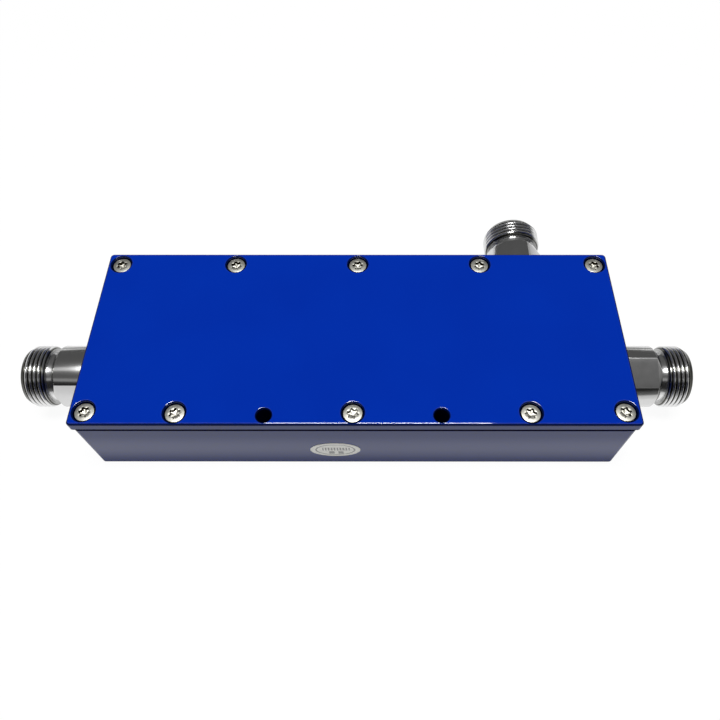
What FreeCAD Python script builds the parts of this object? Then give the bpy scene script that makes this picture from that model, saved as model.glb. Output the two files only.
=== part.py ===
"""Directional coupler: a milled box with a screwed cover and three type-N jacks.

A straight main line joins the two end jacks. A stepped strip beside it picks up a
small share of the wave and leads it to the jack on the back, and its far end is
closed by a load resistor on the floor of the box.

Frame in millimetres: the origin is the centre of the housing's underside, +X points
to the input jack, +Y to the coupled jack on the back, and +Z up through the cover.
"""

import FreeCAD
import Part
import math
import os
import Sketcher

DRIVING_SIZES = {
    # Cover plate
    "cover_length": 132.5,
    "cover_width": 50.5,
    "cover_thickness": 3.0,
    "cover_overhang": 0.4,
    "corner_radius": 1.0,
    "cover_edge_rounding": 0.65,
    "joint_chamfer": 0.4,
    # Housing
    "housing_height": 20.0,
    "wall_thickness": 7.0,
    "floor_thickness": 4.0,
    "foot_rounding": 0.25,
    "pocket_radius": 3.0,
    # Screws of the cover
    "screw_edge_margin": 0.95,
    "front_screw_margin": 0.65,
    "back_screw_step": 30.4,
    "front_screw_step": 21.5,
    "front_row_shift": -0.5,
    "screw_radius": 1.25,
    "screw_head_radius": 2.3,
    "screw_head_height": 1.5,
    "screw_head_chamfer": 0.2,
    "screw_point_chamfer": 0.3,
    "cover_screw_length": 8.0,
    "recess_tip_radius": 1.4,
    "recess_flank_radius": 1.02,
    "recess_flute_radius": 0.68,
    "recess_depth": 1.0,
    "counterbore_radius": 2.6,
    "counterbore_depth": 1.9,
    "counterbore_rim_rounding": 0.45,
    "screw_hole_radius": 1.45,
    # Mounting holes through the front wall
    "mounting_hole_radius": 1.8,
    "mounting_hole_spacing": 41.0,
    "mounting_edge_margin": 0.7,
    "mounting_rim_rounding": 0.35,
    # Jacks
    "jack_length": 18.3,
    "thread_length": 6.1,
    "thread_radius": 7.94,
    "nose_length": 1.6,
    "nose_depth": 1.0,
    "thread_rear_chamfer": 1.0,
    "relief_length": 1.4,
    "relief_radius": 6.45,
    "jack_body_radius": 7.94,
    "shoulder_chamfer": 1.1,
    "wrench_flat_distance": 13.9,
    "stub_radius": 6.35,
    "socket_radius": 4.05,
    "socket_depth": 9.1,
    "mouth_chamfer": 0.3,
    "throat_radius": 3.5,
    "throat_length": 1.5,
    "insulator_radius": 4.0,
    "contact_radius": 1.52,
    "contact_recess": 4.2,
    "contact_tip_chamfer": 0.3,
    "contact_bore_radius": 0.83,
    "contact_bore_depth": 4.6,
    "contact_slot_width": 0.35,
    "contact_slot_depth": 3.6,
    "contact_stem_radius": 1.1,
    "contact_pin_radius": 0.8,
    "contact_pin_length": 5.0,
    "input_flat_tilt": 22.0,
    "output_flat_tilt": 75.5,
    "coupled_flat_tilt": -50.0,
    # Lines inside the pocket
    "main_line_back_distance": 30.35,
    "coupled_jack_inset": 21.55,
    "line_height": 6.0,
    "line_thickness": 4.0,
    "line_end_gap": 1.0,
    "main_line_width": 8.0,
    "main_line_neck": 4.5,
    "main_line_taper": 6.0,
    "tight_gap": 1.2,
    "loose_gap": 3.0,
    "coupled_line_width": 5.6,
    "pin_hole_reserve": 0.5,
    # Posts and nylon screws that carry the lines
    "post_radius": 2.5,
    "post_spigot_radius": 1.5,
    "post_spigot_length": 2.0,
    "spigot_hole_reserve": 0.2,
    "post_bore_depth": 3.4,
    "line_screw_radius": 1.0,
    "line_screw_length": 7.0,
    "line_screw_head_radius": 1.9,
    "line_screw_head_height": 1.3,
    "line_screw_slot_width": 0.5,
    # Load resistor
    "load_wall_gap": 1.0,
    "load_flange_length": 22.0,
    "load_flange_width": 6.3,
    "load_hole_spacing": 16.5,
    "load_substrate_length": 9.5,
    "load_substrate_height": 1.0,
    "load_cap_length": 8.5,
    "load_cap_width": 5.5,
    "load_cap_height": 1.2,
    "load_lead_width": 2.0,
    "load_lead_height": 0.2,
    "load_lead_reach": 3.2,
    "load_lead_gap": 0.35,
    "load_screw_length": 5.0,
    # Oval label on the front face
    "label_width": 12.4,
    "label_height": 7.7,
    "label_thickness": 0.12,
    "label_offset": 5.2,
    "label_centre_height": 8.1,
    # Clearances
    "thread_gap": 0.05,
    "fit_gap": 0.02,
    "clearance": 0.1,
}

document = FreeCAD.newDocument("directional_coupler")
sheet = document.addObject("Spreadsheet::Sheet", "sizes")
for row, (name, value) in enumerate(DRIVING_SIZES.items(), start=1):
    sheet.set(f"A{row}", name)
    sheet.set(f"B{row}", str(value))
    sheet.setAlias(f"B{row}", name)
document.recompute()

# Places worked out from the driving sizes
HOUSING_LENGTH = "(sizes.cover_length - 2 * sizes.cover_overhang)"
HOUSING_WIDTH = "(sizes.cover_width - 2 * sizes.cover_overhang)"
POCKET_LENGTH = f"({HOUSING_LENGTH} - 2 * sizes.wall_thickness)"
POCKET_WIDTH = f"({HOUSING_WIDTH} - 2 * sizes.wall_thickness)"
TOP = "(sizes.housing_height + sizes.cover_thickness)"
LINE_AXIS = "(sizes.floor_thickness + sizes.line_height)"
SCREW_INSET = "(sizes.counterbore_radius + sizes.screw_edge_margin)"
CORNER_SCREW = f"(sizes.cover_length / 2 - {SCREW_INSET})"
BACK_SCREW = f"({CORNER_SCREW} - sizes.back_screw_step)"
FRONT_SCREW = f"({CORNER_SCREW} - sizes.front_screw_step)"
BACK_ROW = f"(sizes.cover_width / 2 - {SCREW_INSET})"
FRONT_ROW = "(sizes.counterbore_radius + sizes.front_screw_margin - sizes.cover_width / 2)"
MOUNTING_INSET = "(sizes.mounting_hole_radius + sizes.mounting_edge_margin)"
MOUNTING_ROW = f"({MOUNTING_INSET} - sizes.cover_width / 2)"
MAIN_ROW = "(sizes.cover_width / 2 - sizes.main_line_back_distance)"
COUPLED_PLACE = "(sizes.cover_length / 2 - sizes.coupled_jack_inset)"
COUNTERBORE_FLOOR = f"({TOP} - sizes.counterbore_depth)"
SCREW_HOLE_DEPTH = (
    "(sizes.cover_screw_length + sizes.counterbore_depth - sizes.cover_thickness"
    " + 2 * sizes.screw_point_chamfer)"
)
JACK_BODY_LENGTH = "(sizes.jack_length - sizes.thread_length - sizes.relief_length)"
SOCKET_FLOOR = "(sizes.jack_length - sizes.socket_depth)"
INSULATOR_SHOULDER = f"({SOCKET_FLOOR} - sizes.throat_length)"
CONTACT_TIP = "(sizes.jack_length - sizes.contact_recess)"
PIN_HOLE_DEPTH = "(sizes.contact_pin_length - sizes.line_end_gap + sizes.pin_hole_reserve)"
PIN_HOLE_RADIUS = "(sizes.contact_pin_radius + sizes.thread_gap)"
MAIN_LINE_HALF = f"({POCKET_LENGTH} / 2 - sizes.line_end_gap)"
COUPLED_EDGE = f"({MAIN_ROW} + sizes.main_line_width / 2)"
TIGHT_CENTRE = "(sizes.tight_gap + sizes.coupled_line_width / 2)"
LOOSE_CENTRE = "(sizes.loose_gap + sizes.coupled_line_width / 2)"
LOAD_ROW = f"({POCKET_WIDTH} / 2 - sizes.load_wall_gap - sizes.load_flange_width / 2)"
LOAD_FLANGE_HEIGHT = (
    "(sizes.line_height - sizes.line_thickness / 2 - sizes.load_lead_height"
    " - sizes.load_substrate_height)"
)
LOAD_HOLE_DEPTH = f"(sizes.load_screw_length - {LOAD_FLANGE_HEIGHT} + 2 * sizes.screw_point_chamfer)"
POST_HEIGHT = "(sizes.line_height - sizes.line_thickness / 2)"

CORNER_PLACES = [(f"{side} * {CORNER_SCREW}", f"{row} * {BACK_ROW}") for row in (1, -1) for side in (-1, 1)]
BACK_PLACES = [(f"{side} * {BACK_SCREW}", BACK_ROW) for side in (-1, 0, 1)]
FRONT_PLACES = [(f"{side} * {FRONT_SCREW} + sizes.front_row_shift", FRONT_ROW) for side in (-1, 0, 1)]
SCREW_PLACES = CORNER_PLACES + BACK_PLACES + FRONT_PLACES
MOUNTING_PLACES = [
    (f"{side} * sizes.mounting_hole_spacing / 2 + sizes.front_row_shift", MOUNTING_ROW)
    for side in (-1, 1)
]
POST_STEPS = (
    ("left", "-2 / 3", LOOSE_CENTRE),
    ("middle", "0", TIGHT_CENTRE),
    ("right", "2 / 3", LOOSE_CENTRE),
)
MAIN_POST_PLACES = [
    (side, f"{step} * {COUPLED_PLACE}", MAIN_ROW)
    for side, step, centre in POST_STEPS
]
COUPLED_POST_PLACES = [
    (side, f"{step} * {COUPLED_PLACE}", f"{COUPLED_EDGE} + {centre}")
    for side, step, centre in POST_STEPS
]
POST_PLACES = MAIN_POST_PLACES + COUPLED_POST_PLACES
LOAD_HOLE_PLACES = [(f"{side} * sizes.load_hole_spacing / 2", "0") for side in (-1, 1)]

# How far a cutting shape reaches past the piece it cuts
CUTTER_OVERLAP = "0.5"


def vector(x, y, z):
    """An expression for a place from three expressions."""
    return f"vector({x}; {y}; {z})"


def put(item, place, turn="rotationz(0)"):
    """Bind an object's Placement to a place and a turn."""
    item.setExpression("Placement", f"placement({place}; {turn})")


class Drawing:
    """A sketch in one of a body's own planes, every size of it bound to the sheet."""

    def __init__(self, body, name, plane, offset="0"):
        self.sketch = body.newObject("Sketcher::SketchObject", name)
        origin_plane = next(item for item in body.Origin.OriginFeatures if item.Role == plane)
        self.sketch.AttachmentSupport = [(origin_plane, "")]
        self.sketch.MapMode = "FlatFace"
        self.sketch.setExpression("AttachmentOffset.Base.z", offset)

    def value(self, expression):
        return float(self.sketch.evalExpression(str(expression)))

    def bind(self, expression, kind, *geometry):
        """Add a dimension whose number follows an expression."""
        number = self.sketch.addConstraint(Sketcher.Constraint(kind, *geometry, self.value(expression)))
        label = f"size_{number}"
        self.sketch.renameConstraint(number, label)
        self.sketch.setExpression(f"Constraints.{label}", expression)

    def place(self, geometry, point, place):
        """Hold one point of an edge at a place given as two expressions."""
        for kind, axis, expression in (("DistanceX", -2, place[0]), ("DistanceY", -1, place[1])):
            if expression == "0":
                self.sketch.addConstraint(Sketcher.Constraint("PointOnObject", geometry, point, axis))
            else:
                self.bind(expression, kind, -1, 1, geometry, point)

    def outline(self, points):
        """A closed outline of straight edges through the points, in order."""
        places = [FreeCAD.Vector(self.value(x), self.value(y), 0) for x, y in points]
        count = len(points)
        first = self.sketch.GeometryCount
        for number in range(count):
            edge = Part.LineSegment(places[number], places[(number + 1) % count])
            self.sketch.addGeometry(edge, False)
        for number in range(count):
            following = first + (number + 1) % count
            self.sketch.addConstraint(Sketcher.Constraint("Coincident", first + number, 2, following, 1))
            self.place(first + number, 1, points[number])

    def circles(self, radius, places):
        """A circle of one radius at each place."""
        for place in places:
            centre = FreeCAD.Vector(self.value(place[0]), self.value(place[1]), 0)
            circle = Part.Circle(centre, FreeCAD.Vector(0, 0, 1), self.value(radius))
            number = self.sketch.addGeometry(circle, False)
            self.place(number, 3, place)
            self.bind(radius, "Radius", number)

    def rectangle(self, length, width):
        """A rectangle about the sketch's origin."""
        right, back = f"{length} / 2", f"{width} / 2"
        self.outline([(f"-{right}", f"-{back}"), (right, f"-{back}"), (right, back), (f"-{right}", back)])

    def rounded_rectangle(self, length, width, radius):
        """A rectangle about the sketch's origin with an arc at each corner."""
        first = self.sketch.GeometryCount
        bend = self.value(radius)
        half_length = self.value(length) / 2 - bend
        half_width = self.value(width) / 2 - bend
        corners = ((1, 1), (-1, 1), (-1, -1), (1, -1))
        centres = [FreeCAD.Vector(x * half_length, y * half_width, 0) for x, y in corners]
        for number, centre in enumerate(centres):
            circle = Part.Circle(centre, FreeCAD.Vector(0, 0, 1), bend)
            start = number * math.pi / 2
            self.sketch.addGeometry(Part.ArcOfCircle(circle, start, start + math.pi / 2), False)
        for number in range(4):
            arc = self.sketch.Geometry[first + number]
            following = self.sketch.Geometry[first + (number + 1) % 4]
            self.sketch.addGeometry(Part.LineSegment(arc.EndPoint, following.StartPoint), False)
        for number, (x, y) in enumerate(corners):
            arc, line, following = first + number, first + 4 + number, first + (number + 1) % 4
            self.bind(radius, "Radius", arc)
            self.place(arc, 3, (f"{x} * ({length} / 2 - {radius})", f"{y} * ({width} / 2 - {radius})"))
            self.sketch.addConstraint(Sketcher.Constraint("Tangent", arc, 2, line, 1))
            self.sketch.addConstraint(Sketcher.Constraint("Tangent", line, 2, following, 1))


def new_body(name):
    return document.addObject("PartDesign::Body", name)


def pad(body, drawing, length):
    feature = body.newObject("PartDesign::Pad", f"{drawing.sketch.Name}_pad")
    feature.Profile = drawing.sketch
    feature.setExpression("Length", length)
    return feature


def pocket(body, drawing, depth=None, along_normal=False):
    """Cut down into the body, through all of it where no depth is given."""
    feature = body.newObject("PartDesign::Pocket", f"{drawing.sketch.Name}_pocket")
    feature.Profile = drawing.sketch
    feature.Reversed = along_normal
    if depth is None:
        feature.Type = "ThroughAll"
    else:
        feature.setExpression("Length", depth)
    return feature


def revolve(body, name, profile):
    """Turn a profile of (radius, height) points about the body's own Z axis."""
    drawing = Drawing(body, name, "XZ_Plane")
    drawing.outline(profile)
    feature = body.newObject("PartDesign::Revolution", f"{name}_turning")
    feature.Profile = drawing.sketch
    feature.ReferenceAxis = (drawing.sketch, ["V_Axis"])
    feature.Angle = 360
    return feature


def turn_pattern(body, feature, count, name):
    """Repeat a feature about the body's own Z axis."""
    pattern = body.newObject("PartDesign::PolarPattern", name)
    pattern.Originals = [feature]
    axis = next(item for item in body.Origin.OriginFeatures if item.Role == "Z_Axis")
    pattern.Axis = (axis, [""])
    pattern.Angle = 360
    pattern.Occurrences = count
    body.Tip = pattern
    return pattern


def dress_edges(body, feature, name, kind, size, chosen):
    """Give those edges of a feature that the test accepts a Fillet or a Chamfer."""
    document.recompute()
    names = [f"Edge{number}" for number, edge in enumerate(feature.Shape.Edges, start=1) if chosen(edge)]
    dressing = body.newObject(f"PartDesign::{kind}", name)
    dressing.Base = (feature, names)
    dressing.setExpression({"Fillet": "Radius", "Chamfer": "Size"}[kind], size)
    return dressing


def on_the_lower_rim(edge):
    return edge.BoundBox.ZMax < 1e-6


def is_circle(edge, radius):
    return isinstance(edge.Curve, Part.Circle) and abs(edge.Curve.Radius - radius) < 1e-6


def group(name, original, places):
    """One named group of like pieces, each a separate solid at its own place."""
    links = []
    for number, place in enumerate(places, start=1):
        link = document.addObject("App::Link", f"{name}_{number}")
        link.LinkedObject = original
        put(link, place)
        links.append(link)
    compound = document.addObject("Part::Compound", name)
    compound.Links = links
    return compound


def make_housing():
    """Box milled from solid: pocket, screw holes, jack ports and mounting holes."""
    body = new_body("housing")
    outside = Drawing(body, "housing_outside", "XY_Plane")
    outside.rounded_rectangle(HOUSING_LENGTH, HOUSING_WIDTH, "sizes.corner_radius")
    block = pad(body, outside, "sizes.housing_height")

    level = sheet.get("housing_height")

    def on_the_upper_rim(edge):
        return edge.BoundBox.ZMin > level - 1e-6

    chamfered = dress_edges(
        body, block, "housing_joint_chamfer", "Chamfer", "sizes.joint_chamfer", on_the_upper_rim)
    dress_edges(body, chamfered, "housing_foot", "Fillet", "sizes.foot_rounding", on_the_lower_rim)

    inside = Drawing(body, "line_pocket", "XY_Plane", "sizes.housing_height")
    inside.rounded_rectangle(POCKET_LENGTH, POCKET_WIDTH, "sizes.pocket_radius")
    pocket(body, inside, "sizes.housing_height - sizes.floor_thickness")

    screw_holes = Drawing(body, "cover_screw_threads", "XY_Plane", "sizes.housing_height")
    screw_holes.circles("sizes.screw_radius + sizes.thread_gap", SCREW_PLACES)
    pocket(body, screw_holes, SCREW_HOLE_DEPTH)

    mounting = Drawing(body, "mounting_holes", "XY_Plane", "sizes.housing_height")
    mounting.circles("sizes.mounting_hole_radius", MOUNTING_PLACES)
    pocket(body, mounting)

    port_radius = "sizes.stub_radius + sizes.thread_gap"
    for side, name, inward in ((1, "input_port", False), (-1, "output_port", True)):
        port = Drawing(body, name, "YZ_Plane", f"{side} * {HOUSING_LENGTH} / 2")
        port.circles(port_radius, [(MAIN_ROW, LINE_AXIS)])
        pocket(body, port, "sizes.wall_thickness", along_normal=inward)
    coupled_port = Drawing(body, "coupled_port", "XZ_Plane", f"-{HOUSING_WIDTH} / 2")
    coupled_port.circles(port_radius, [(COUPLED_PLACE, LINE_AXIS)])
    pocket(body, coupled_port, "sizes.wall_thickness", along_normal=True)

    post_holes = Drawing(body, "post_holes", "XY_Plane", "sizes.floor_thickness")
    post_holes.circles("sizes.post_spigot_radius + sizes.fit_gap", [(x, y) for side, x, y in POST_PLACES])
    pocket(body, post_holes, "sizes.post_spigot_length + sizes.spigot_hole_reserve")

    load_holes = Drawing(body, "load_screw_threads", "XY_Plane", "sizes.floor_thickness")
    places = [(f"-{COUPLED_PLACE} + {x}", LOAD_ROW) for x, y in LOAD_HOLE_PLACES]
    load_holes.circles("sizes.screw_radius + sizes.thread_gap", places)
    pocket(body, load_holes, LOAD_HOLE_DEPTH)
    return body


def make_hole_cutter(name, radius, rim_rounding, steps):
    """Cutter for one kind of hole in the cover, its height 0 at the cover's top face.

    A collar that only touches the top face carries the rounding of the hole's rim.
    """
    body = new_body(name)
    collar = f"{radius} + 2 * {rim_rounding}"
    above = "sizes.cover_thickness"
    turning = revolve(body, f"{name}_profile", steps + [
        (radius, "0"),
        (collar, "0"),
        (collar, above),
        ("0", above),
    ])
    size = turning.evalExpression(radius)

    def under_the_collar(edge):
        return is_circle(edge, float(size)) and abs(edge.BoundBox.ZMax) < 1e-6

    dress_edges(body, turning, f"{name}_rim", "Fillet", rim_rounding, under_the_collar)
    return body


def cut_holes(name, plate, cutter, places):
    """The plate with one kind of hole cut at each place."""
    cut = document.addObject("Part::Cut", name)
    cut.Base = plate
    cut.Tool = group(f"{name}_cutters", cutter, [vector(x, y, TOP) for x, y in places])
    return cut


def make_cover():
    """Flat plate over the pocket, with counterbored holes for its screws."""
    body = new_body("cover_blank")
    put(body, vector("0", "0", "sizes.housing_height"))
    outside = Drawing(body, "cover_outside", "XY_Plane")
    outside.rounded_rectangle("sizes.cover_length", "sizes.cover_width", "sizes.corner_radius")
    plate = pad(body, outside, "sizes.cover_thickness")
    level = sheet.get("cover_thickness")

    def on_the_upper_rim(edge):
        return edge.BoundBox.ZMin > level - 1e-6

    rounded = dress_edges(
        body, plate, "cover_edge", "Fillet", "sizes.cover_edge_rounding", on_the_upper_rim)
    dress_edges(body, rounded, "cover_joint_chamfer", "Chamfer", "sizes.joint_chamfer", on_the_lower_rim)

    underneath = f"-sizes.cover_thickness - {CUTTER_OVERLAP}"
    counterbore, mounting = "sizes.counterbore_radius", "sizes.mounting_hole_radius"
    screw_cutter = make_hole_cutter("screw_hole", counterbore, "sizes.counterbore_rim_rounding", [
        ("0", underneath),
        ("sizes.screw_hole_radius", underneath),
        ("sizes.screw_hole_radius", "-sizes.counterbore_depth"),
        (counterbore, "-sizes.counterbore_depth"),
    ])
    mounting_cutter = make_hole_cutter("mounting_hole", mounting, "sizes.mounting_rim_rounding", [
        ("0", underneath),
        (mounting, underneath),
    ])
    screwed = cut_holes("screwed_cover", body, screw_cutter, SCREW_PLACES)
    return cut_holes("cover_plate", screwed, mounting_cutter, MOUNTING_PLACES)


def make_six_lobe_screw(name, length):
    """Cheese-head screw with a six-lobe recess, its head's seat at height 0."""
    body = new_body(name)
    head = "sizes.screw_head_height"
    revolve(body, f"{name}_profile", [
        ("0", f"-{length}"),
        ("sizes.screw_radius - sizes.screw_point_chamfer", f"-{length}"),
        ("sizes.screw_radius", f"-{length} + sizes.screw_point_chamfer"),
        ("sizes.screw_radius", "0"),
        ("sizes.screw_head_radius", "0"),
        ("sizes.screw_head_radius", f"{head} - sizes.screw_head_chamfer"),
        ("sizes.screw_head_radius - sizes.screw_head_chamfer", head),
        ("0", head),
    ])
    recess = Drawing(body, f"{name}_recess", "XY_Plane", head)
    recess.circles("sizes.recess_tip_radius", [("0", "0")])
    pocket(body, recess, "sizes.recess_depth")
    flute = Drawing(body, f"{name}_flute", "XY_Plane", f"{head} - sizes.recess_depth")
    flute_place = "sizes.recess_flank_radius + sizes.recess_flute_radius"
    flute.circles("sizes.recess_flute_radius", [(flute_place, "0")])
    flutes = pad(body, flute, "sizes.recess_depth")
    turn_pattern(body, flutes, 6, f"{name}_flutes")
    return body


def make_line_screw():
    """Nylon cheese-head screw, its head's seat at height 0."""
    body = new_body("line_screw")
    revolve(body, "line_screw_profile", [
        ("0", "-sizes.line_screw_length"),
        ("sizes.line_screw_radius", "-sizes.line_screw_length"),
        ("sizes.line_screw_radius", "0"),
        ("sizes.line_screw_head_radius", "0"),
        ("sizes.line_screw_head_radius", "sizes.line_screw_head_height"),
        ("0", "sizes.line_screw_head_height"),
    ])
    slot = Drawing(body, "line_screw_slot", "XY_Plane", "sizes.line_screw_head_height")
    across = f"2 * (sizes.line_screw_head_radius + {CUTTER_OVERLAP})"
    slot.rectangle(across, "sizes.line_screw_slot_width")
    pocket(body, slot, "sizes.line_screw_head_height / 2")
    return body


def make_jack_shell(name):
    """Turned jack body: thread, relief groove, flats and the stub in the wall.

    Height 0 is the seat on the housing's face, and the mouth points along +Z.
    """
    body = new_body(name)
    mouth = "sizes.jack_length"
    revolve(body, f"{name}_profile", [
        ("sizes.insulator_radius", "-sizes.wall_thickness"),
        ("sizes.stub_radius", "-sizes.wall_thickness"),
        ("sizes.stub_radius", "0"),
        ("sizes.jack_body_radius", "0"),
        ("sizes.jack_body_radius", f"{JACK_BODY_LENGTH} - sizes.shoulder_chamfer"),
        ("sizes.jack_body_radius - sizes.shoulder_chamfer", JACK_BODY_LENGTH),
        ("sizes.relief_radius", JACK_BODY_LENGTH),
        ("sizes.relief_radius", f"{mouth} - sizes.thread_length"),
        ("sizes.thread_radius - sizes.thread_rear_chamfer", f"{mouth} - sizes.thread_length"),
        ("sizes.thread_radius", f"{mouth} - sizes.thread_length + sizes.thread_rear_chamfer"),
        ("sizes.thread_radius", f"{mouth} - sizes.nose_length"),
        ("sizes.thread_radius - sizes.nose_depth", mouth),
        ("sizes.socket_radius + sizes.mouth_chamfer", mouth),
        ("sizes.socket_radius", f"{mouth} - sizes.mouth_chamfer"),
        ("sizes.socket_radius", SOCKET_FLOOR),
        ("sizes.throat_radius", SOCKET_FLOOR),
        ("sizes.throat_radius", INSULATOR_SHOULDER),
        ("sizes.insulator_radius", INSULATOR_SHOULDER),
    ])
    flats = Drawing(body, f"{name}_wrench_flats", "XY_Plane", JACK_BODY_LENGTH)
    near, far = "sizes.wrench_flat_distance / 2", f"(sizes.jack_body_radius + {CUTTER_OVERLAP})"
    for side in (1, -1):
        flats.outline([
            (f"{side} * {near}", f"-{far}"),
            (f"{side} * {far}", f"-{far}"),
            (f"{side} * {far}", far),
            (f"{side} * {near}", far),
        ])
    pocket(body, flats, JACK_BODY_LENGTH)
    return body


def make_jack_insulator(name):
    """Turned bead that fills the shell from the wall's inside to the socket's floor."""
    body = new_body(name)
    revolve(body, f"{name}_profile", [
        ("sizes.contact_stem_radius + sizes.fit_gap", "-sizes.wall_thickness"),
        ("sizes.insulator_radius - sizes.fit_gap", "-sizes.wall_thickness"),
        ("sizes.insulator_radius - sizes.fit_gap", INSULATOR_SHOULDER),
        ("sizes.throat_radius - sizes.fit_gap", INSULATOR_SHOULDER),
        ("sizes.throat_radius - sizes.fit_gap", SOCKET_FLOOR),
        ("sizes.contact_stem_radius + sizes.fit_gap", SOCKET_FLOOR),
    ])
    return body


def make_jack_contact(name):
    """Socket contact: four sprung fingers in front, a pin for the line behind."""
    body = new_body(name)
    revolve(body, f"{name}_profile", [
        ("0", "-sizes.wall_thickness - sizes.contact_pin_length"),
        ("sizes.contact_pin_radius", "-sizes.wall_thickness - sizes.contact_pin_length"),
        ("sizes.contact_pin_radius", "-sizes.wall_thickness"),
        ("sizes.contact_stem_radius", "-sizes.wall_thickness"),
        ("sizes.contact_stem_radius", SOCKET_FLOOR),
        ("sizes.contact_radius", SOCKET_FLOOR),
        ("sizes.contact_radius", f"{CONTACT_TIP} - sizes.contact_tip_chamfer"),
        ("sizes.contact_radius - sizes.contact_tip_chamfer", CONTACT_TIP),
        ("sizes.contact_bore_radius", CONTACT_TIP),
        ("sizes.contact_bore_radius", f"{CONTACT_TIP} - sizes.contact_bore_depth"),
        ("0", f"{CONTACT_TIP} - sizes.contact_bore_depth - sizes.contact_bore_radius / 2"),
    ])
    across, along = f"2 * (sizes.contact_radius + {CUTTER_OVERLAP})", "sizes.contact_slot_width"
    for number, (length, width) in enumerate(((across, along), (along, across)), start=1):
        slot = Drawing(body, f"{name}_slot_{number}", "XY_Plane", CONTACT_TIP)
        slot.rectangle(length, width)
        pocket(body, slot, "sizes.contact_slot_depth")
    return body


def make_main_line():
    """Through conductor: a flat bar with tapered ends, drilled for the contacts."""
    body = new_body("main_line")
    put(body, vector("0", MAIN_ROW, LINE_AXIS))
    side, neck = "sizes.main_line_width / 2", "sizes.main_line_neck / 2"
    shoulder = f"({MAIN_LINE_HALF} - sizes.main_line_taper)"
    outside = Drawing(body, "main_line_outline", "XY_Plane", "-sizes.line_thickness / 2")
    outside.outline([
        (f"-{MAIN_LINE_HALF}", f"-{neck}"),
        (f"-{shoulder}", f"-{side}"),
        (shoulder, f"-{side}"),
        (MAIN_LINE_HALF, f"-{neck}"),
        (MAIN_LINE_HALF, neck),
        (shoulder, side),
        (f"-{shoulder}", side),
        (f"-{MAIN_LINE_HALF}", neck),
    ])
    pad(body, outside, "sizes.line_thickness")
    for end, name, inward in ((1, "input_pin_hole", False), (-1, "output_pin_hole", True)):
        hole = Drawing(body, name, "YZ_Plane", f"{end} * {MAIN_LINE_HALF}")
        hole.circles(PIN_HOLE_RADIUS, [("0", "0")])
        pocket(body, hole, PIN_HOLE_DEPTH, along_normal=inward)
    screw_holes = Drawing(body, "main_line_screw_holes", "XY_Plane", "sizes.line_thickness / 2")
    places = [(x, "0") for side, x, y in MAIN_POST_PLACES]
    screw_holes.circles("sizes.line_screw_radius + sizes.clearance", places)
    pocket(body, screw_holes)
    return body


def make_coupled_line():
    """Coupled conductor: close to the main line in the middle third, further off beside it.

    Its local Y starts at the main line's back edge. The right arm runs to the back
    jack and the left arm to the load.
    """
    body = new_body("coupled_line")
    put(body, vector("0", COUPLED_EDGE, LINE_AXIS))
    width = "sizes.coupled_line_width"
    outer = f"({COUPLED_PLACE} + {width} / 2)"
    inner = f"({COUPLED_PLACE} - {width} / 2)"
    step = f"{COUPLED_PLACE} / 3"
    near, far = "sizes.tight_gap", "sizes.loose_gap"
    right_end = f"({POCKET_WIDTH} / 2 - sizes.line_end_gap - {COUPLED_EDGE})"
    load_front = f"({LOAD_ROW} - sizes.load_flange_width / 2)"
    left_end = f"({load_front} - sizes.load_lead_gap - {COUPLED_EDGE})"
    outside = Drawing(body, "coupled_line_outline", "XY_Plane", "-sizes.line_thickness / 2")
    outside.outline([
        (f"-{outer}", far),
        (f"-{step}", far),
        (f"-{step}", near),
        (step, near),
        (step, far),
        (outer, far),
        (outer, right_end),
        (inner, right_end),
        (inner, f"{far} + {width}"),
        (step, f"{far} + {width}"),
        (step, f"{near} + {width}"),
        (f"-{step}", f"{near} + {width}"),
        (f"-{step}", f"{far} + {width}"),
        (f"-{inner}", f"{far} + {width}"),
        (f"-{inner}", left_end),
        (f"-{outer}", left_end),
    ])
    pad(body, outside, "sizes.line_thickness")
    hole = Drawing(body, "coupled_pin_hole", "XZ_Plane", f"-{right_end}")
    hole.circles(PIN_HOLE_RADIUS, [(COUPLED_PLACE, "0")])
    pocket(body, hole, PIN_HOLE_DEPTH, along_normal=True)
    screw_holes = Drawing(body, "coupled_line_screw_holes", "XY_Plane", "sizes.line_thickness / 2")
    places = [(x, f"{y} - {COUPLED_EDGE}") for side, x, y in COUPLED_POST_PLACES]
    screw_holes.circles("sizes.line_screw_radius + sizes.clearance", places)
    pocket(body, screw_holes)
    return body


def make_post(name, x, y):
    """Post between the pocket's floor and a line, with a spigot in the floor."""
    body = new_body(name)
    put(body, vector(x, y, "sizes.floor_thickness"))
    bore = "sizes.line_screw_radius + sizes.fit_gap"
    revolve(body, f"{name}_profile", [
        ("0", "-sizes.post_spigot_length"),
        ("sizes.post_spigot_radius", "-sizes.post_spigot_length"),
        ("sizes.post_spigot_radius", "0"),
        ("sizes.post_radius", "0"),
        ("sizes.post_radius", POST_HEIGHT),
        (bore, POST_HEIGHT),
        (bore, f"{POST_HEIGHT} - sizes.post_bore_depth"),
        ("0", f"{POST_HEIGHT} - sizes.post_bore_depth"),
    ])
    return body


def make_load_flange():
    """Plated mounting flange of the load resistor, with two screw holes."""
    body = new_body("load_flange")
    put(body, vector(f"-{COUPLED_PLACE}", LOAD_ROW, "sizes.floor_thickness"))
    outside = Drawing(body, "load_flange_outline", "XY_Plane")
    outside.rectangle("sizes.load_flange_length", "sizes.load_flange_width")
    pad(body, outside, LOAD_FLANGE_HEIGHT)
    holes = Drawing(body, "load_flange_holes", "XY_Plane", LOAD_FLANGE_HEIGHT)
    holes.circles("sizes.screw_radius + sizes.clearance", LOAD_HOLE_PLACES)
    pocket(body, holes)
    return body


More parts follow.
